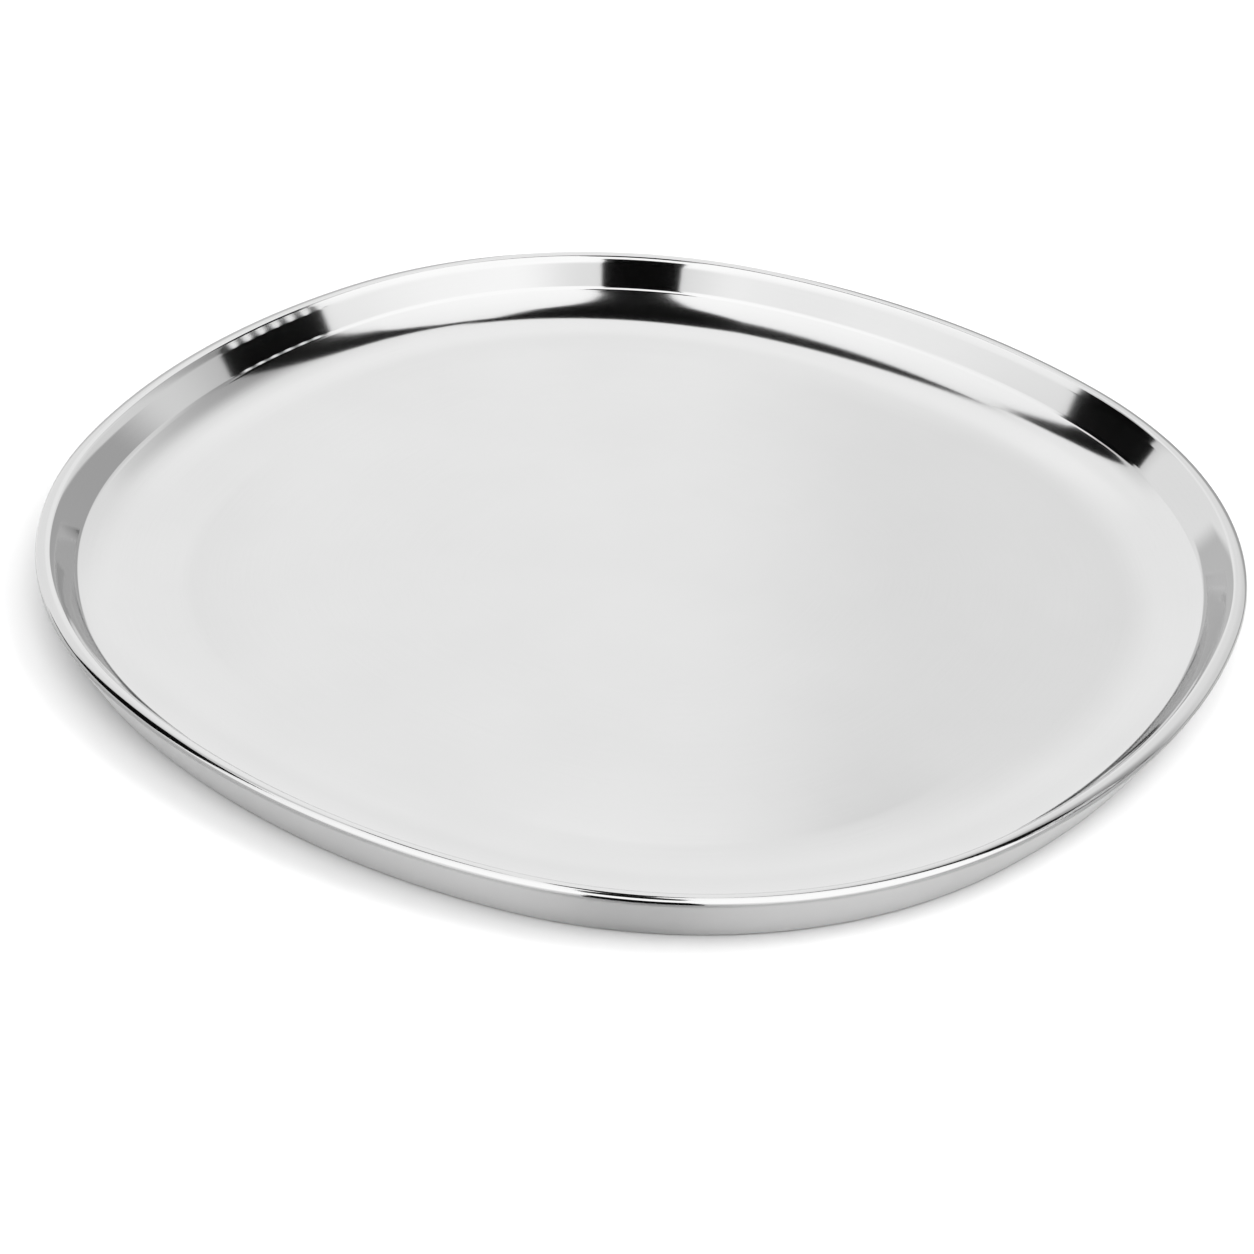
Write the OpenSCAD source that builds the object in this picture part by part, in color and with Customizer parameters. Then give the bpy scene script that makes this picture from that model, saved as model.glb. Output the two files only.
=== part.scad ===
// Soft-square serving plate, two pressed sheets joined round the rim.
// Millimetres, +Z up. The origin is the middle of the flat underside, on the table plane.
// X and Y run through the middles of the four sides; the four soft corners lie at 45 degrees.
//
// Outline: every side is an arc of a large circle and every corner an arc of a smaller one, tangent
// to each other, so any line drawn parallel to the rim is again made of arcs about the same centres.
// A section is therefore drawn once, as inset from the rim (d) against height (z), and swept
// round each of the eight arc centres.

/* [Outline] */
// width across two opposite sides
plate_w = 270; // [200:1:340]
// how square the outline is: distance of each side arc's centre past the plate's middle, as a share of half the width
squareness = 0.335; // [0.25:0.005:0.42]

/* [Section] */
// overall height from table to top of the rim
plate_h = 14.3; // [12:0.1:22]
// thickness of either sheet
sheet_t = 0.6; // [0.4:0.1:0.8]
// gap between the dish's floor and the shell's base
floor_gap = 1.1; // [0.1:0.1:2]

/* [Rim and wall] */
// radius of the rolled outer edge of the rim
edge_r = 0.8; // [0.8:0.05:1.2]
// outward tilt at which the edge hands over to the top of the rim
edge_turn = 22; // [16:1:26]
// radius of the gently domed top of the rim
lip_r = 3.9; // [3:0.1:6]
// inward slope at which the top of the rim hands over to the shoulder
lip_turn = 15.5; // [12:0.5:18]
// radius of the shoulder between rim and wall
shoulder_r = 1.3; // [0.9:0.1:2]
// slope at which the shoulder hands over to the upper wall
shoulder_turn = 38; // [30:1:42]
// radius of the upper wall
upper_r = 8; // [5:0.1:9]
// slope of the straight wall, from horizontal
wall_slope = 51.5; // [48:0.1:54]
// depth of the crease between wall and cove, below the rim
crease_depth = 6.75; // [6:0.05:7.5]
// slope at which the cove leaves the crease
cove_slope = 22; // [18:0.5:26]
// radius of the crease itself
crease_r = 2.5; // [0.8:0.1:3]

/* [Shell] */
// lean of the skirt, from vertical
skirt_lean = 29.75; // [24:0.25:34]
// outside radius between skirt and base
base_r = 2; // [1.2:0.1:3]
// where on the rolled edge the two sheets meet, as an angle above horizontal
seam_turn = 28; // [20:1:40]

/* [Which] */
// sub-part to draw

/* [Hidden] */
$fn = 96;

// --- outline: the two arc centres and the tangent point lie on one line of slope 7 in 24
// every coordinate that the eight sections share is kept to a hundredth, so that they meet exactly
function r2(x) = round(x * 100) / 100;
function tidy(p) = [for (q = p) [r2(q[0]), r2(q[1])]];
half = plate_w / 2;
unit = r2(half * squareness / 17);
side_c = 17 * unit;               // side arc centre, past the middle
corner_c = 7 * unit;              // corner arc centre, on the diagonal
side_rad = half + side_c;
corner_rad = side_rad - 25 * unit;

// --- section paths, as [inset, height]; a slope s has its upward normal at [sin s, cos s]
function arc_up(c, r, s0, s1, n) = [for (i = [0:n]) let (s = s0 + (s1 - s0) * i / n) [c[0] + r * sin(s), c[1] + r * cos(s)]];
function arc_dn(c, r, s0, s1, n) = [for (i = [0:n]) let (s = s0 + (s1 - s0) * i / n) [c[0] - r * sin(s), c[1] - r * cos(s)]];
function rev(p) = [for (i = [len(p) - 1:-1:0]) p[i]];

// dish, upper face from the rolled edge to the floor
edge_c = [edge_r, plate_h - lip_r + (lip_r - edge_r) * cos(edge_turn)];
lip_c = [edge_r + (lip_r - edge_r) * sin(edge_turn), plate_h - lip_r];
shoulder_c = [lip_c[0] + (lip_r - shoulder_r) * sin(lip_turn), lip_c[1] + (lip_r - shoulder_r) * cos(lip_turn)];
upper_c = [shoulder_c[0] + (shoulder_r - upper_r) * sin(shoulder_turn), shoulder_c[1] + (shoulder_r - upper_r) * cos(shoulder_turn)];
wall_top = [upper_c[0] + upper_r * sin(wall_slope), upper_c[1] + upper_r * cos(wall_slope)];
crease_z = plate_h - crease_depth;
crease = [wall_top[0] + (wall_top[1] - crease_z) / tan(wall_slope), crease_z];
crease_l = crease_r * tan((wall_slope - cove_slope) / 2);
wall_end = [crease[0] - crease_l * cos(wall_slope), crease[1] + crease_l * sin(wall_slope)];
crease_c = [wall_end[0] + crease_r * sin(wall_slope), wall_end[1] + crease_r * cos(wall_slope)];
cove_start = [crease_c[0] - crease_r * sin(cove_slope), crease_c[1] - crease_r * cos(cove_slope)];
floor_z = 2 * sheet_t + floor_gap;
cove_rad = (cove_start[1] - floor_z) / (1 - cos(cove_slope));
cove_c = [cove_start[0] + cove_rad * sin(cove_slope), floor_z + cove_rad];
floor_d = cove_c[0];              // inset at which the floor is flat
band_d = r2(floor_d) + 4;             // inset where the swept band stops, inside the flat floor
disc_d = r2(floor_d) + 2;             // inset of the floor's own outline, overlapping the band

// lower end of the rolled edge, where the straight skirt begins
inw = [cos(skirt_lean), sin(skirt_lean)];
edge_end = [edge_c[0] - edge_r * inw[0], edge_c[1] - edge_r * inw[1]];

// rolled edge: the dish holds its upper part, from the seam to the rim's top, and the shell its lower part
function edge_arc(r, a0, a1, n) = [for (i = [0:n]) let (a = a0 + (a1 - a0) * i / n) [edge_c[0] - r * cos(a), edge_c[1] + r * sin(a)]];

dish_band = tidy(concat(
    edge_arc(edge_r, seam_turn, 90 - edge_turn, 4),
    arc_up(lip_c, lip_r, 6 - edge_turn, lip_turn, 5),
    arc_up(shoulder_c, shoulder_r, lip_turn + 9, shoulder_turn, 2),
    arc_up(upper_c, upper_r, shoulder_turn + 4.5, wall_slope, 2),
    arc_dn(crease_c, crease_r, wall_slope, cove_slope, 3),
    arc_dn(cove_c, cove_rad, cove_slope - 3, 0, 8),
    [[band_d, floor_z], [band_d, floor_z - sheet_t]],
    arc_dn(cove_c, cove_rad + sheet_t, 0, cove_slope, 9),
    arc_dn(crease_c, crease_r + sheet_t, cove_slope + 7, wall_slope, 2),
    arc_up(upper_c, upper_r - sheet_t, wall_slope, shoulder_turn + 4.5, 2),
    arc_up(shoulder_c, shoulder_r - sheet_t, shoulder_turn, lip_turn + 9, 2),
    arc_up(lip_c, lip_r - sheet_t, lip_turn, 6 - edge_turn, 5),
    edge_arc(edge_r - sheet_t, 90 - edge_turn, seam_turn, 1)));

// shell: lower part of the rolled edge, skirt, rounded foot and base
base_cd = edge_end[0] + ((edge_end[1] - base_r + base_r * inw[1]) * tan(skirt_lean)) + base_r * inw[0];
base_c = [base_cd, base_r];
function foot_arc(r) = [for (i = [0:6]) let (a = skirt_lean + (90 - skirt_lean) * i / 6) [base_c[0] - r * cos(a), base_c[1] - r * sin(a)]];
shell_band = tidy(concat(
    edge_arc(edge_r - sheet_t, seam_turn, -skirt_lean, 1),
    foot_arc(base_r - sheet_t),
    [[band_d, sheet_t], [band_d, 0]],
    rev(foot_arc(base_r)),
    edge_arc(edge_r, -skirt_lean, seam_turn, 5)));

// --- sweeping a section round the outline
// wedge of the plane seen from an arc centre, its edges through the tangent points
module wedge(pts) { translate([0, 0, -5]) linear_extrude(height = plate_h + 10) polygon(pts); }

module ring(cx, cy, rad, band) {
    translate([cx, cy, 0]) rotate_extrude() polygon([for (p = band) [rad - p[0], p[1]]]);
}

module sweep(band) {
    for (q = [0:3]) rotate([0, 0, 90 * q]) {
        intersection() {
            ring(-side_c, 0, side_rad, band);
            wedge([[-side_c, 0], [-side_c + 24 * 9 * unit, -7 * 9 * unit], [-side_c + 24 * 9 * unit, 7 * 9 * unit]]);
        }
        intersection() {
            ring(corner_c, corner_c, corner_rad, band);
            wedge([[corner_c, corner_c], [corner_c + 24 * 8 * unit, corner_c + 7 * 8 * unit],
                   [corner_c + 24 * 8 * unit, corner_c + 24 * 8 * unit], [corner_c + 7 * 8 * unit, corner_c + 24 * 8 * unit]]);
        }
    }
}

// flat disc with the rim's outline, inset by d
module disc(d, z0, z1) {
    translate([0, 0, z0]) linear_extrude(height = z1 - z0) for (q = [0:3]) rotate(90 * q) {
        intersection() {
            translate([-side_c, 0]) circle(r = side_rad - d);
            polygon([[-side_c, 0], [-side_c + 24 * 9 * unit, -7 * 9 * unit], [-side_c + 24 * 9 * unit, 7 * 9 * unit]]);
        }
        intersection() {
            translate([corner_c, corner_c]) circle(r = corner_rad - d);
            polygon([[corner_c, corner_c], [corner_c + 24 * 8 * unit, corner_c + 7 * 8 * unit],
                     [corner_c + 24 * 8 * unit, corner_c + 24 * 8 * unit], [corner_c + 7 * 8 * unit, corner_c + 24 * 8 * unit]]);
        }
    }
}

// --- sub-parts
// inner sheet: rolled edge, rim, wall, crease, cove and flat floor
module dish() {
    color([0.80, 0.81, 0.82]) union() {
        sweep(dish_band);
        disc(disc_d, floor_z - sheet_t, floor_z);
    }
}

// outer sheet: lower part of the rolled edge below the seam, leaning skirt, rounded foot and flat base
module shell() {
    color([0.66, 0.67, 0.69]) union() {
        sweep(shell_band);
        disc(disc_d, 0, sheet_t);
    }
}

dish();
shell();
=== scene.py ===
"""Soft-square steel serving plate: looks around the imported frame. Metres, +Z up."""
import math

import bpy
import numpy as np
from mathutils import Matrix, Vector


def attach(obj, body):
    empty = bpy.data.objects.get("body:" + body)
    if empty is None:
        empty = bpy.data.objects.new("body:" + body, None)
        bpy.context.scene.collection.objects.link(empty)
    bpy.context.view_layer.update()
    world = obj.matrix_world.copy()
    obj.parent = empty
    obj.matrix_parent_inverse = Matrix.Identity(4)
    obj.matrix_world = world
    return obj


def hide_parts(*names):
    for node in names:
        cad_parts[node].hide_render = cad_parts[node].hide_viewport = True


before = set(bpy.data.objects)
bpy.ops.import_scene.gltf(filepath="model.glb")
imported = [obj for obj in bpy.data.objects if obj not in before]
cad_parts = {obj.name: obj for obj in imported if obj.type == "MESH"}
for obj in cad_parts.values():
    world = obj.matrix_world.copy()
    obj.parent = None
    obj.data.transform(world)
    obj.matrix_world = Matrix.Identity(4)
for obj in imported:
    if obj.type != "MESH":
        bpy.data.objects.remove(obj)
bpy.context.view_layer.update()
MM = 0.001

# ---------------------------------------------------------------- outline and section (mm), as the CAD has them
W, H, T = 270.0, 14.3, 0.6
HALF = W / 2
UNIT = round(HALF * 0.335 / 17, 2)
SIDE_C, CORNER_C = 17 * UNIT, 7 * UNIT
SIDE_R = HALF + SIDE_C
CORNER_R = SIDE_R - 25 * UNIT
TURN = math.atan2(7, 24)

EDGE_R, EDGE_TURN, LIP_R, LIP_TURN = 0.8, math.radians(22), 3.9, math.radians(15.5)
SHOULDER_R, SHOULDER_TURN, UPPER_R = 1.3, math.radians(38), 8.0
WALL, CREASE_D, COVE, CREASE_R = math.radians(51.5), 6.75, math.radians(22), 2.5
LEAN, BASE_R, SEAM, GAP = math.radians(29.75), 2.0, math.radians(28), 1.1
FLOOR_Z = 2 * T + GAP


def sn(a):
    return math.sin(a)


def cs(a):
    return math.cos(a)


def arc(c, r, a0, a1, n, out=1):
    """Points of an arc whose normal turns from slope a0 to a1; out=1 bulges up, -1 hollows."""
    return [(c[0] + out * r * sn(a), c[1] + out * r * cs(a), sn(a), cs(a)) for a in np.linspace(a0, a1, n + 1)]


edge_c = (EDGE_R, H - LIP_R + (LIP_R - EDGE_R) * cs(EDGE_TURN))
lip_c = (EDGE_R + (LIP_R - EDGE_R) * sn(EDGE_TURN), H - LIP_R)
shoulder_c = (lip_c[0] + (LIP_R - SHOULDER_R) * sn(LIP_TURN), lip_c[1] + (LIP_R - SHOULDER_R) * cs(LIP_TURN))
upper_c = (shoulder_c[0] + (SHOULDER_R - UPPER_R) * sn(SHOULDER_TURN), shoulder_c[1] + (SHOULDER_R - UPPER_R) * cs(SHOULDER_TURN))
wall_top = (upper_c[0] + UPPER_R * sn(WALL), upper_c[1] + UPPER_R * cs(WALL))
crease = (wall_top[0] + (wall_top[1] - (H - CREASE_D)) / math.tan(WALL), H - CREASE_D)
cl = CREASE_R * math.tan((WALL - COVE) / 2)
wall_end = (crease[0] - cl * cs(WALL), crease[1] + cl * sn(WALL))
crease_c = (wall_end[0] + CREASE_R * sn(WALL), wall_end[1] + CREASE_R * cs(WALL))
cove_start = (crease_c[0] - CREASE_R * sn(COVE), crease_c[1] - CREASE_R * cs(COVE))
COVE_R = (cove_start[1] - FLOOR_Z) / (1 - cs(COVE))
cove_c = (cove_start[0] + COVE_R * sn(COVE), FLOOR_Z + COVE_R)
inw = (cs(LEAN), sn(LEAN))
edge_end = (edge_c[0] - EDGE_R * inw[0], edge_c[1] - EDGE_R * inw[1])
base_c = (edge_end[0] + (edge_end[1] - BASE_R + BASE_R * inw[1]) * math.tan(LEAN) + BASE_R * inw[0], BASE_R)


def line(p, q, n, slope_n):
    return [(p[0] + (q[0] - p[0]) * k, p[1] + (q[1] - p[1]) * k, slope_n[0], slope_n[1]) for k in np.linspace(0, 1, n + 1)]


def edge(r, a0, a1, n):
    """Part of the rolled edge, by angle above horizontal; its normal points away from its centre."""
    out = []
    for a in np.linspace(a0, a1, n + 1):
        out.append((edge_c[0] - r * cs(a), edge_c[1] + r * sn(a), -cs(a), sn(a)))
    return out


def joined(*parts):
    """One run of section points, without doubled ones."""
    run = []
    for part in parts:
        for p in part:
            if not run or math.hypot(p[0] - run[-1][0], p[1] - run[-1][1]) > 1e-4:
                run.append(p)
    return run


def flipped(run, by=-1):
    return [(p[0], p[1], by * p[2], by * p[3]) for p in run]


skirt_n = (-cs(LEAN), -sn(LEAN))
INNER = 100.0  # inset at which the flat floor closes with a fan


def outline(n_side=68, n_corner=76):
    """Unit normals and arc centres round the plate, counter-clockwise from +X."""
    rows = []
    for q in range(4):
        a = q * math.pi / 2
        rot = lambda x, y: (x * cs(a) - y * sn(a), x * sn(a) + y * cs(a))
        for t in np.linspace(-TURN, TURN, n_side, endpoint=False):
            rows.append((*rot(-SIDE_C, 0), SIDE_R, a + t))
        for t in np.linspace(TURN, math.pi / 2 - TURN, n_corner, endpoint=False):
            rows.append((*rot(CORNER_C, CORNER_C), CORNER_R, a + t))
    return np.array(rows)


def sweep(name, run):
    """Closed mesh of a section run swept round the outline, both ends shut with a fan to the axis.
    The run's own normals are kept, so that mirror reflections stay true."""
    ring = outline()
    n, m = len(ring), len(run)
    cx, cy, rad, phi = ring.T
    d, z, nd, nz = np.array(run).T
    r = rad[:, None] - d[None, :]
    co = np.stack([cx[:, None] + r * np.cos(phi)[:, None], cy[:, None] + r * np.sin(phi)[:, None],
                   np.broadcast_to(z[None, :], r.shape)], axis=2).reshape(-1, 3) * MM
    no = np.stack([-nd[None, :] * np.cos(phi)[:, None], -nd[None, :] * np.sin(phi)[:, None],
                   np.broadcast_to(nz[None, :], r.shape)], axis=2).reshape(-1, 3)
    i, k = np.meshgrid(np.arange(n), np.arange(m - 1), indexing="ij")
    j = (i + 1) % n
    quads = np.stack([i * m + k, i * m + k + 1, j * m + k + 1, j * m + k], axis=2).reshape(-1, 4)
    p = co[quads]
    geo = np.cross(p[:, 2] - p[:, 0], p[:, 3] - p[:, 1])
    if np.einsum("ij,ij->i", geo, no[quads[:, 0]]).sum() < 0:
        quads = quads[:, ::-1]
    faces = quads.tolist()
    co, no = co.tolist(), no.tolist()
    for end in (0, m - 1):
        c, up = len(co), run[end][3] > 0
        co.append((0, 0, run[end][1] * MM))
        no.append((0, 0, 1 if up else -1))
        for a in range(n):
            b = (a + 1) % n
            f = (a * m + end, b * m + end, c)
            faces.append(f if up else f[::-1])
    me = bpy.data.meshes.new(name)
    me.from_pydata(co, [], faces)
    # u runs along the rim and v along the section, both in metres
    length = np.concatenate([[0], np.cumsum(np.hypot(np.diff(d), np.diff(z)))]) * MM
    along = np.concatenate([[0], np.cumsum(np.hypot(*np.diff(np.array([cx + rad * np.cos(phi), cy + rad * np.sin(phi)]), axis=1)))]) * MM
    step = along[1]
    uv = me.uv_layers.new(name="rim")
    loop_v = np.zeros(len(me.loops), int)
    me.loops.foreach_get("vertex_index", loop_v)
    u = np.where(loop_v < n * m, along[np.minimum(loop_v // m, n - 1)], 0)
    v = np.where(loop_v < n * m, length[loop_v % m], 0)
    last = (loop_v < n * m) & (loop_v // m == 0)
    face_of = np.repeat(np.arange(len(me.polygons)), [len(f) for f in faces])
    wraps = np.zeros(len(faces), bool)
    wraps[(n - 1) * (m - 1):n * (m - 1)] = True
    u = np.where(last & wraps[face_of], along[-1] + step, u)
    uv.data.foreach_set("uv", np.stack([u, v], axis=1).ravel())
    me.polygons.foreach_set("use_smooth", [True] * len(me.polygons))
    me.update()
    me.normals_split_custom_set_from_vertices(no)
    ob = bpy.data.objects.new(name, me)
    bpy.context.scene.collection.objects.link(ob)
    return ob


# dish: underside from the middle out to the seam, then the rolled edge, rim, wall, cove and floor
dish_run = joined(
    line((INNER, FLOOR_Z - T), (cove_c[0], FLOOR_Z - T), 3, (0, -1)),
    flipped(arc(cove_c, COVE_R + T, 0, COVE, 8, -1)), flipped(arc(crease_c, CREASE_R + T, COVE, WALL, 3, -1)),
    flipped(arc(upper_c, UPPER_R - T, WALL, SHOULDER_TURN, 3)), flipped(arc(shoulder_c, SHOULDER_R - T, SHOULDER_TURN, LIP_TURN, 3)),
    flipped(arc(lip_c, LIP_R - T, LIP_TURN, -EDGE_TURN, 5)), flipped(edge(EDGE_R - T, math.pi / 2 - EDGE_TURN, SEAM, 3)),
    edge(EDGE_R, SEAM, math.pi / 2 - EDGE_TURN, 14),
    arc(lip_c, LIP_R, -EDGE_TURN, LIP_TURN, 20), arc(shoulder_c, SHOULDER_R, LIP_TURN, SHOULDER_TURN, 10), arc(upper_c, UPPER_R, SHOULDER_TURN, WALL, 12),
    line(wall_top, wall_end, 6, (sn(WALL), cs(WALL))),
    arc(crease_c, CREASE_R, WALL, COVE, 10, -1),
    arc(cove_c, COVE_R, COVE, 0, 40, -1),
    line((cove_c[0], FLOOR_Z), (INNER, FLOOR_Z), 12, (0, 1)))
dish = sweep("dish_skin", dish_run)


def foot(r, n, out=1):
    return [(base_c[0] - r * cs(a), base_c[1] - r * sn(a), -out * cs(a), -out * sn(a))
            for a in np.linspace(math.pi / 2, LEAN, n + 1)]


# shell: base from the middle out, rounded foot, skirt and rolled edge up to the seam, and back down inside
shell_run = joined(
    line((INNER, 0), (base_c[0], 0), 6, (0, -1)), foot(BASE_R, 14), line(foot(BASE_R, 1)[-1][:2], edge_end, 8, skirt_n),
    edge(EDGE_R, -LEAN, SEAM, 12), flipped(edge(EDGE_R - T, SEAM, -LEAN, 5)),
    foot(BASE_R - T, 6, -1)[::-1], line((base_c[0], T), (INNER, T), 3, (0, 1)))
shell = sweep("shell_skin", shell_run)


# ---------------------------------------------------------------- node helpers
class Net:
    """Small builder for a node tree."""

    def __init__(self, tree):
        self.t = tree
        tree.nodes.clear()

    def new(self, kind, **inputs):
        n = self.t.nodes.new(kind)
        for k, v in inputs.items():
            self.put(n.inputs[k.replace("_", " ")], v)
        return n

    def put(self, socket, v):
        if isinstance(v, bpy.types.NodeSocket):
            self.t.links.new(v, socket)
        else:
            socket.default_value = v

    def m(self, op, *args, clamp=False):
        n = self.t.nodes.new("ShaderNodeMath")
        n.operation, n.use_clamp = op, clamp
        for s, v in zip(n.inputs, args):
            self.put(s, v)
        return n.outputs[0]

    def step(self, x, at, soft):
        """0 below at, 1 above it, with a smooth edge of the given width."""
        n = self.t.nodes.new("ShaderNodeMapRange")
        n.interpolation_type = "SMOOTHSTEP"
        self.put(n.inputs["Value"], x)
        self.put(n.inputs["From Min"], self.m("SUBTRACT", at, soft / 2))
        self.put(n.inputs["From Max"], self.m("ADD", at, soft / 2))
        return n.outputs["Result"]

    def mix(self, f, a, b):
        """a where f is 0, b where it is 1."""
        return self.m("ADD", self.m("MULTIPLY", a, self.m("SUBTRACT", 1.0, f)), self.m("MULTIPLY", b, f))

    def grey(self, v):
        n = self.t.nodes.new("ShaderNodeCombineColor")
        for s in n.inputs[:3]:
            self.put(s, v)
        return n.outputs[0]


def material(name):
    mat = bpy.data.materials.new(name)
    mat.use_nodes = True
    return mat, Net(mat.node_tree)


def noise(net, vector, scale, detail=2.0, rough=0.5):
    n = net.new("ShaderNodeTexNoise", Vector=vector, Scale=scale, Detail=detail, Roughness=rough)
    return n.outputs[0]


def steel(name, tone, rough, tint=(1.0, 1.0, 1.0), streak=0.0, peel=0.0, brushed=0.0):
    """Polished sheet steel: faint cloudiness, polishing lines along the rim, a little unevenness of the surface.
    A brushed sheet blurs what it mirrors across the lines, which run round the rim."""
    mat, net = material(name)
    pos = net.new("ShaderNodeTexCoord").outputs["Object"]
    uv = net.new("ShaderNodeUVMap")
    uv.uv_map = "rim"
    lines = net.new("ShaderNodeMapping", Vector=uv.outputs[0], Scale=(22.0, 2600.0, 1.0)).outputs[0]
    fine = noise(net, lines, 1.0, 3.0, 0.6)
    cloud = noise(net, pos, 28.0, 3.0, 0.55)
    speck = noise(net, pos, 900.0, 2.0, 0.5)
    shade = net.m("ADD", tone, net.m("MULTIPLY", net.m("SUBTRACT", cloud, 0.5), 0.035))
    shade = net.m("ADD", shade, net.m("MULTIPLY", net.m("SUBTRACT", fine, 0.5), 0.02))
    col = net.t.nodes.new("ShaderNodeCombineColor")
    for s, k in zip(col.inputs, tint):
        net.put(s, net.m("MULTIPLY", shade, k))
    r = net.m("ADD", rough, net.m("MULTIPLY", net.m("SUBTRACT", fine, 0.5), 0.25 * rough))
    r = net.m("ADD", r, net.m("MULTIPLY", net.m("SUBTRACT", cloud, 0.5), 0.3 * rough))
    bsdf = net.new("ShaderNodeBsdfPrincipled", Base_Color=col.outputs[0], Metallic=1.0, Roughness=r)
    bsdf.inputs["Anisotropic"].default_value = brushed
    bsdf.inputs["Anisotropic Rotation"].default_value = 0.25
    if streak or peel:
        high = net.m("ADD", net.m("MULTIPLY", fine, streak), net.m("MULTIPLY", speck, peel))
        bump = net.new("ShaderNodeBump", Strength=1.0, Distance=0.001, Height=high)
        net.t.links.new(bump.outputs[0], bsdf.inputs["Normal"])
    out = net.new("ShaderNodeOutputMaterial")
    net.t.links.new(bsdf.outputs[0], out.inputs[0])
    return mat


dish.data.materials.append(steel("dish_polished_steel", 0.575, 0.055, streak=0.0004, peel=0.0002))
shell.data.materials.append(steel("shell_satin_steel", 0.535, 0.5, streak=0.0002, peel=0.0001, brushed=1.0))
for piece, node, slot in ((dish, "dish", "dish_steel"), (shell, "shell", "shell_steel")):
    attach(piece, "root")
    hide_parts(node)

# ---------------------------------------------------------------- camera at the photograph's angle
# found by fitting the rim's outline, in a frame whose -Y side the camera is on; YAW turns that frame onto the plate's
D, ELEV, FOCAL, TX, TY, ROLL = 5.561 * HALF * MM, math.radians(33.46), 3388.0, -0.0243 * HALF * MM, -0.3101 * HALF * MM, math.radians(3.59)
YAW = math.radians(45 - 12.34)
turn = Matrix.Rotation(YAW, 3, "Z")
back = Vector((0, -cs(ELEV), sn(ELEV)))
eye = turn @ (Vector((TX, TY, 0)) + D * back) + Vector((0, 0, H * MM))
right = Vector((1, 0, 0))
up = back.cross(right)
x_axis = right * cs(ROLL) + up * sn(ROLL)
y_axis = -right * sn(ROLL) + up * cs(ROLL)
cols = [turn @ v for v in (x_axis, y_axis, back)]
cam = bpy.data.objects.new("camera", bpy.data.cameras.new("camera"))
bpy.context.scene.collection.objects.link(cam)
cam.matrix_world = Matrix([[cols[c][r] for c in range(3)] + [eye[r]] for r in range(3)] + [[0, 0, 0, 1]])
cam.data.sensor_width = 36.0
cam.data.lens = FOCAL / 1254 * 36.0
cam.data.clip_start, cam.data.clip_end = 0.05, 20.0
bpy.context.scene.camera = cam

# ---------------------------------------------------------------- studio: a pale floor inside a light tent
TENT_R = 1.0125


def disc(name, radius, z):
    n = 96
    me = bpy.data.meshes.new(name)
    pts = [(radius * cs(2 * math.pi * i / n), radius * sn(2 * math.pi * i / n), z) for i in range(n)]
    me.from_pydata(pts, [], [tuple(range(n))])
    ob = bpy.data.objects.new(name, me)
    bpy.context.scene.collection.objects.link(ob)
    return ob


floor = disc("floor", TENT_R - 0.004, 0.0)
mat, net = material("floor_paper")
grain = noise(net, net.new("ShaderNodeTexCoord").outputs["Object"], 60.0, 3.0)
white = net.m("ADD", 0.85, net.m("MULTIPLY", net.m("SUBTRACT", grain, 0.5), 0.01))
bsdf = net.new("ShaderNodeBsdfPrincipled", Base_Color=net.grey(white), Roughness=0.9)
out = net.new("ShaderNodeOutputMaterial")
net.t.links.new(bsdf.outputs[0], out.inputs[0])
floor.data.materials.append(mat)


def on_tent(x, y, r=TENT_R):
    """A place on the tent: x to the right and y away from the camera, in degrees from straight overhead."""
    t = math.radians(math.hypot(x, y))
    k = sn(t) / max(math.hypot(x, y), 1e-9)
    return (r * x * k, r * y * k, r * cs(t) + H * MM)


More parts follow.
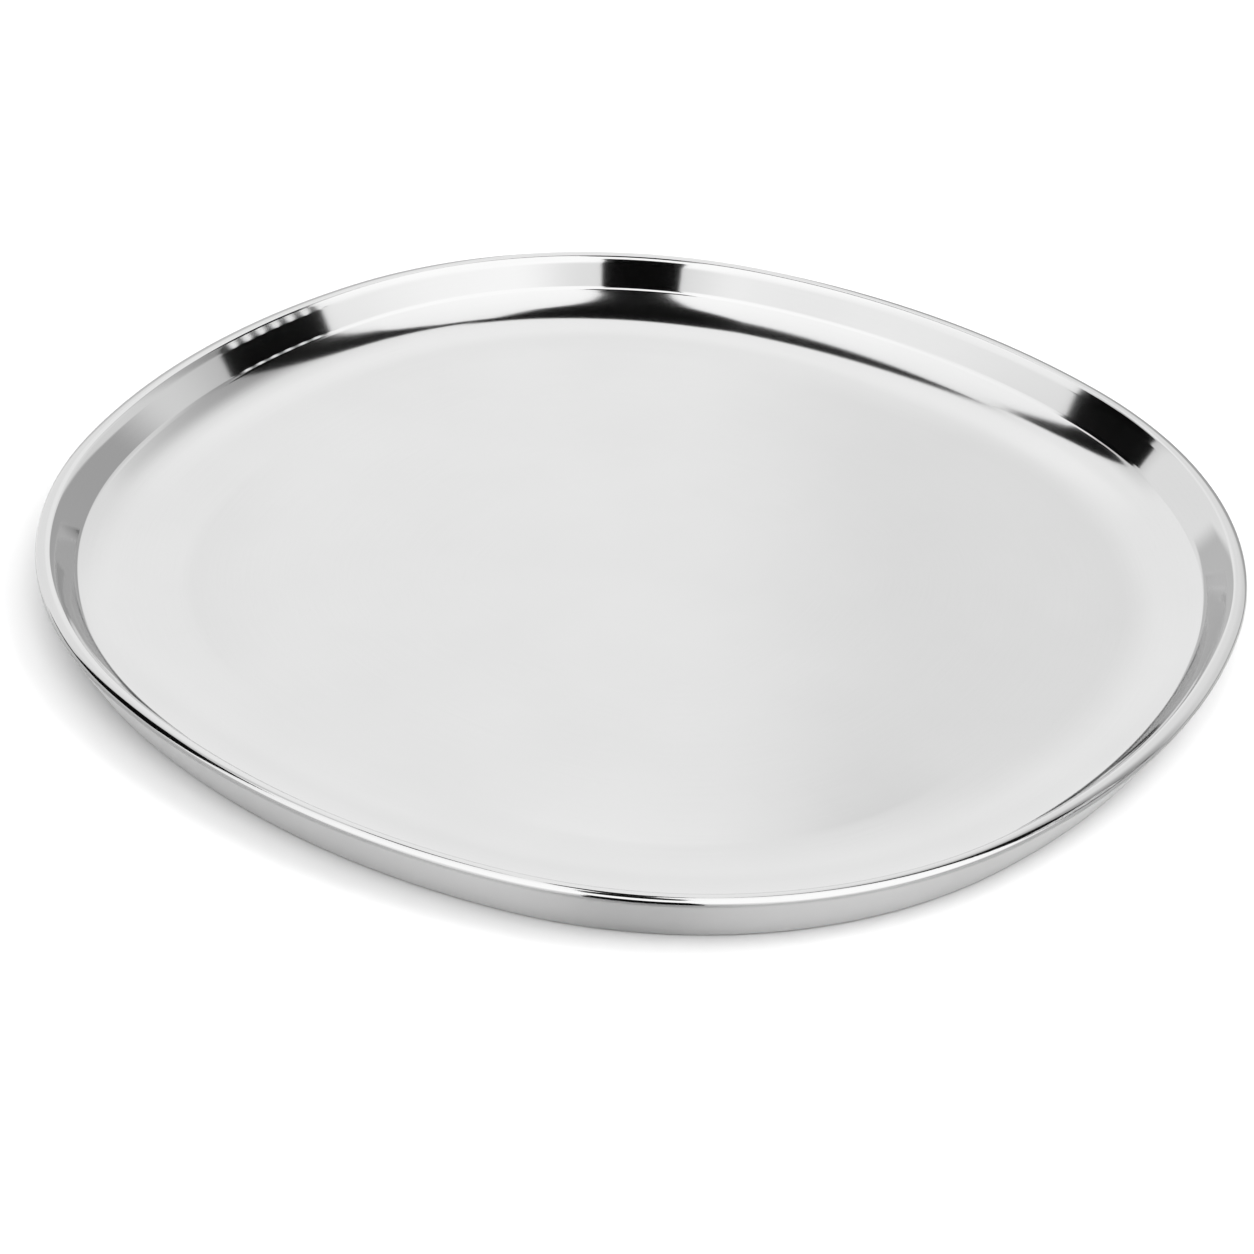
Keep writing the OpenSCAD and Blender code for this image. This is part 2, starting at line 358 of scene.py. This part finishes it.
def tent():
    """Dome round the plate, its light set by direction: a pale backdrop behind the plate, brighter overhead."""
    rings, n = 24, 96
    pts, faces = [], []
    for i in range(rings):
        a = math.pi / 2 * i / rings
        pts += [(TENT_R * cs(a) * cs(2 * math.pi * k / n), TENT_R * cs(a) * sn(2 * math.pi * k / n), TENT_R * sn(a)) for k in range(n)]
    pts.append((0, 0, TENT_R))
    for i in range(rings - 1):
        faces += [(i * n + k, i * n + (k + 1) % n, (i + 1) * n + (k + 1) % n, (i + 1) * n + k) for k in range(n)]
    faces += [((rings - 1) * n + k, (rings - 1) * n + (k + 1) % n, rings * n) for k in range(n)]
    me = bpy.data.meshes.new("tent")
    me.from_pydata(pts, [], [f[::-1] for f in faces])
    mat, net = material("tent_light")
    pos = net.new("ShaderNodeTexCoord").outputs["Object"]
    off = net.new("ShaderNodeVectorMath", Vector=pos)
    off.operation = "SUBTRACT"
    off.inputs[1].default_value = (0, 0, H * MM)
    unit = net.new("ShaderNodeVectorMath", Vector=off.outputs[0])
    unit.operation = "NORMALIZE"
    x, y, z = net.new("ShaderNodeSeparateXYZ", Vector=unit.outputs[0]).outputs
    zen = net.m("MULTIPLY", net.m("ARCCOSINE", z), 180 / math.pi)
    flat = net.m("MAXIMUM", net.m("SQRT", net.m("ADD", net.m("MULTIPLY", x, x), net.m("MULTIPLY", y, y))), 1e-5)
    px = net.m("DIVIDE", net.m("MULTIPLY", x, zen), flat)
    py = net.m("DIVIDE", net.m("MULTIPLY", y, zen), flat)
    left, ax = net.m("MULTIPLY", px, -1.0), net.m("ABSOLUTE", px)

    def less(value, by, amount):
        return net.m("SUBTRACT", value, net.m("MULTIPLY", by, amount))

    def curve(v, a, b, c):
        return net.m("ADD", a, net.m("MULTIPLY", v, net.m("ADD", b, net.m("MULTIPLY", v, c))))

    # backdrop: brightest in the middle, with a haze along the upper edges of the black cloth
    light = less(less(1.33, net.step(px, 5.5, 9.0), 0.13), net.step(left, 16.0, 8.0), 0.11)
    light = less(light, net.step(px, 30.0, 20.0), 0.14)
    light = less(light, net.step(py, 72.0, 10.0), 0.06)
    hot = net.m("MULTIPLY", net.step(px, -3.0, 4.0), net.m("SUBTRACT", 1.0, net.step(px, 4.5, 4.0)))
    light = less(light, net.m("MULTIPLY", hot, net.m("SUBTRACT", 1.0, net.step(py, 50.0, 6.0))), -0.09)
    over_r = net.step(net.m("SUBTRACT", py, curve(px, 47.0, -0.55, 0.002)), 5.0, 14.0)
    over_l = net.step(net.m("SUBTRACT", py, curve(px, 48.3, 0.6, 0.0048)), 3.0, 7.0)
    haze_r = net.m("MULTIPLY", net.step(px, 8.0, 5.0), less(net.m("SUBTRACT", 1.0, over_r), net.m("MULTIPLY", net.step(px, 50.0, 8.0), net.m("SUBTRACT", 1.0, over_r)), 0.6))
    haze_l = net.m("MULTIPLY", net.step(left, 9.0, 5.0), net.m("SUBTRACT", 1.0, over_l))
    light = net.m("MULTIPLY", light, less(less(1.0, haze_r, 0.56), haze_l, 0.26))
    # overhead panels, fading outwards
    dx, dy = net.m("SUBTRACT", px, 8.0), net.m("ADD", py, 2.0)
    r = net.m("SQRT", net.m("ADD", net.m("MULTIPLY", dx, dx), net.m("MULTIPLY", dy, dy)))
    panel = less(less(1.68, net.step(r, 48.0, 56.0), 0.68), net.step(left, 36.0, 18.0), -0.15)
    dim = net.m("MULTIPLY", net.m("SUBTRACT", 1.0, net.step(net.m("ABSOLUTE", net.m("SUBTRACT", px, 2.0)), 17.0, 16.0)), net.step(net.m("MULTIPLY", py, -1.0), 27.0, 12.0))
    panel = less(panel, dim, 0.33)
    wing = net.m("SUBTRACT", ax, 6.0)
    wing = net.m("MAXIMUM", wing, 0.0)
    light = net.mix(net.m("SUBTRACT", 1.0, net.step(net.m("SUBTRACT", py, curve(wing, 40.8, -0.62, 0.0022)), 0.0, 1.0)), light, panel)
    # darker room low down: beside the panels, and behind on the right and left
    lift = net.m("MULTIPLY", net.m("MAXIMUM", net.m("ADD", py, 20.0), 0.0), 0.45)
    front = net.step(net.m("MULTIPLY", py, -1.0), 45.0, 30.0)
    light = net.mix(net.step(net.m("SUBTRACT", left, lift), 45.0, 5.0), light, less(0.77, front, -0.06))
    light = net.mix(net.step(net.m("SUBTRACT", px, lift), 47.0, 9.0), light, less(0.77, front, -0.25))
    light = net.mix(net.m("MULTIPLY", net.step(zen, 70.0, 6.0), net.m("MULTIPLY", net.step(px, 9.5, 3.0), net.step(py, 14.0, 8.0))), light, 0.58)
    light = net.mix(net.m("MULTIPLY", net.step(py, 67.0, 9.0), net.step(left, 9.0, 3.0)), light, 0.78)
    emit = net.new("ShaderNodeEmission", Color=(1, 1, 1, 1), Strength=light)
    out = net.new("ShaderNodeOutputMaterial")
    net.t.links.new(emit.outputs[0], out.inputs[0])
    me.materials.append(mat)
    return studio("tent", me)


def studio(name, me):
    ob = bpy.data.objects.new(name, me)
    bpy.context.scene.collection.objects.link(ob)
    ob.matrix_world = Matrix.Rotation(YAW, 4, "Z")
    ob.visible_camera = False
    return ob


def flag(name, upper, lower):
    """Black cloth between two edges on the tent, each a list of (x, y) places from left to right."""
    n = 120
    lo, hi = min(p[0] for p in upper), max(p[0] for p in upper)
    xs = np.linspace(lo, hi, n)
    tops = np.interp(xs, *zip(*upper))
    bots = np.interp(xs, *zip(*lower))
    pts, faces = [], []
    for x, t, b in zip(xs, tops, bots):
        pts += [on_tent(x, b + (t - b) * k / 4, TENT_R - 0.022) for k in range(5)]
    for i in range(n - 1):
        faces += [(i * 5 + k, i * 5 + k + 1, i * 5 + k + 6, i * 5 + k + 5) for k in range(4)]
    me = bpy.data.meshes.new(name)
    me.from_pydata(pts, [], faces)
    mat, net = material(name + "_cloth")
    nap = noise(net, net.new("ShaderNodeTexCoord").outputs["Object"], 80.0)
    bsdf = net.new("ShaderNodeBsdfPrincipled", Base_Color=net.grey(net.m("MULTIPLY", nap, 0.008)), Roughness=1.0)
    bsdf.inputs["Specular IOR Level"].default_value = 0.0
    out = net.new("ShaderNodeOutputMaterial")
    net.t.links.new(bsdf.outputs[0], out.inputs[0])
    me.materials.append(mat)
    return studio(name, me)


tent()
flag("flag_back",
     [(-56, 30), (-46, 31.5), (-38, 33.5), (-30, 35.5), (-27, 36.5), (-25, 36), (-11.5, 39.5), (-10.5, 42.9), (-9, 42.8), (-7, 42.1), (-6, 41.3), (-5.2, 40.6), (-4.6, 40.3),
      (-4.3, 40.2), (-3.3, 40.6), (-2.9, 41), (-2.4, 41.6), (-2, 42.1), (-1.2, 42), (0, 41.5), (2.2, 40.6), (3, 40.4), (4, 40.8), (4.5, 41.1), (5, 41.6),
      (6, 42.1), (7, 41.9), (8, 41.6), (10, 41), (12, 40.6), (18, 38), (24, 34), (30, 30), (36, 28), (42, 26), (48, 24), (54, 22), (57, 21.5), (62, 21.5)],
     [(-56, 24), (-46, 27), (-38, 30), (-30, 32), (-27, 33), (-25, 36), (-11.5, 39.5), (-10.5, 36.5), (-10, 36.7), (-8.7, 37.1), (-7, 38), (-5.6, 38.8), (-4.8, 39.6),
      (-4.3, 40.2), (-3.3, 40.6), (-2.9, 40), (-2.4, 39.8), (0, 39.8), (2.2, 39.3), (3, 39), (4, 39.7), (4.5, 39.6), (5, 39.3),
      (6, 39.1), (7, 38.9), (8, 38.5), (10, 37.3), (12, 35.8), (18, 31), (24, 25), (30, 21), (36, 16), (42, 11), (48, 6), (54, 3.5), (57, 2.5), (62, 2.5)])
# the uprights leave the place straight above the plate free
UPRIGHT_FRONT = [(-85, -17, 14), (-60, -14, 11.5), (-45, -11.5, 9.5), (-34, -9.2, 7.7), (-28, -8.6, 6.8), (-20, -7.8, 5.6), (-11.5, -7, 4.9)]
UPRIGHT_BACK = [(11.5, -4.5, 3.5), (22, -4, 3.1), (25.5, -2, 1.6), (28, -2, 1.2), (30, -2.2, 1.2), (32, -2.4, 1.3), (34, -3.2, 1.7), (36, -3.7, 2.5), (38, -3.6, 2.7), (41, -3.2, 2.9)]


def post(name, rows, r=TENT_R - 0.025):
    """Black upright flag given by (y, left, right) rows."""
    n = 120
    ys = np.linspace(rows[0][0], rows[-1][0], n)
    left = np.interp(ys, [r[0] for r in rows], [r[1] for r in rows])
    right_ = np.interp(ys, [r[0] for r in rows], [r[2] for r in rows])
    pts, faces = [], []
    for y, x0, x1 in zip(ys, left, right_):
        pts += [on_tent(x0 + (x1 - x0) * k / 4, y, r) for k in range(5)]
    for i in range(n - 1):
        faces += [(i * 5 + k, i * 5 + k + 1, i * 5 + k + 6, i * 5 + k + 5) for k in range(4)]
    me = bpy.data.meshes.new(name)
    me.from_pydata(pts, [], faces)
    me.materials.append(bpy.data.materials["flag_back_cloth"])
    return studio(name, me)


post("flag_front", UPRIGHT_FRONT)
post("flag_middle", UPRIGHT_BACK)
post("flag_left", [(8.6, -54.5, -48.5), (14, -55.5, -48), (22, -57, -47), (31, -57.2, -48.5), (35.2, -57, -50.5)], 0.6)

def mirrored(phi, d, z, slope, r):
    """Place at distance r that the camera sees mirrored in the dish, at normal direction phi round the rim."""
    q = math.floor((phi + TURN) / (math.pi / 2))
    a = phi - q * math.pi / 2
    centre, rad = (Vector((-SIDE_C, 0, 0)), SIDE_R) if a <= TURN else (Vector((CORNER_C, CORNER_C, 0)), CORNER_R)
    out = Vector((cs(phi), sn(phi), 0))
    spot = Matrix.Rotation(q * math.pi / 2, 3, "Z") @ (centre + rad * Vector((cs(a), sn(a), 0))) - d * out
    spot = (spot + Vector((0, 0, z))) * MM
    facing = Vector((0, 0, cs(slope))) - out * sn(slope)
    ray = (spot - eye).normalized()
    ray = ray - 2 * ray.dot(facing) * facing
    o = spot - Vector((0, 0, H * MM))
    b = o.dot(ray)
    far = o + ray * (math.sqrt(b * b - o.dot(o) + r * r) - b)
    return turn.inverted() @ far + Vector((0, 0, H * MM))


def flag_side():
    """Black cloth on the left, seen mirrored in the shoulder and crease at the back on the right."""
    pts, faces = [], []
    for phi in np.linspace(28.8, 42.0, 12):
        pts += [mirrored(YAW + math.radians(phi), 6.5, H - 4, math.radians(slope), TENT_R - 0.028) for slope in np.linspace(50.5, 31.0, 10)]
    for i in range(11):
        faces += [(i * 10 + j, i * 10 + j + 1, i * 10 + j + 11, i * 10 + j + 10) for j in range(9)]
    me = bpy.data.meshes.new("flag_side")
    me.from_pydata(pts, [], faces)
    me.materials.append(bpy.data.materials["flag_back_cloth"])
    return studio("flag_side", me)


flag_side()


# short bright strips in front of the black cloth on the right; mirrored, they are spots along shoulder and crease
def strips(name, count):
    pts, faces = [], []
    for i in range(count):
        phi = YAW + math.radians(135.2 + 9.8 * i / (count - 1))
        for slope in np.linspace(50.7, 36.5, 12):
            w = math.radians(np.interp(slope, [36.5, 44, 48, 50.7], [0.42, 0.46, 0.38, 0.1]))
            for e in (-w, w):
                pts.append(mirrored(phi + e, 6.5, H - 4, math.radians(slope), TENT_R - 0.035))
        o = i * 24
        faces += [(o + 2 * j, o + 2 * j + 1, o + 2 * j + 3, o + 2 * j + 2) for j in range(11)]
    me = bpy.data.meshes.new(name)
    me.from_pydata(pts, [], faces)
    mat, net = material(name + "_light")
    emit = net.new("ShaderNodeEmission", Color=(1, 1, 1, 1), Strength=1.55)
    out = net.new("ShaderNodeOutputMaterial")
    net.t.links.new(emit.outputs[0], out.inputs[0])
    me.materials.append(mat)
    return studio(name, me)


strips("light_strips", 7)

# two soft lamps for the paper round the plate: one from the front, and one from the right, which leaves the
# soft shadow on the left; the metal doesn't mirror them
def lamp(name, azimuth, height, watt):
    az, el = math.radians(azimuth), math.radians(height)
    ob = bpy.data.objects.new(name, bpy.data.lights.new(name, "AREA"))
    bpy.context.scene.collection.objects.link(ob)
    ob.data.shape, ob.data.size, ob.data.energy = "DISK", 0.5, watt
    aim = turn @ Vector((cs(el) * cs(az), cs(el) * sn(az), sn(el)))
    ob.matrix_world = Matrix.Translation(aim * 0.85) @ aim.to_track_quat("Z", "Y").to_matrix().to_4x4()
    ob.visible_camera = ob.visible_glossy = False


lamp("lamp_front", -95, 50, 2.8)
lamp("lamp_right", -25, 50, 2.8)

world = bpy.data.worlds.new("studio")
bpy.context.scene.world = world
world.use_nodes = True
world.node_tree.nodes["Background"].inputs[0].default_value = (1, 1, 1, 1)
world.node_tree.nodes["Background"].inputs[1].default_value = 1.0
bpy.context.scene.view_settings.view_transform = "Standard"
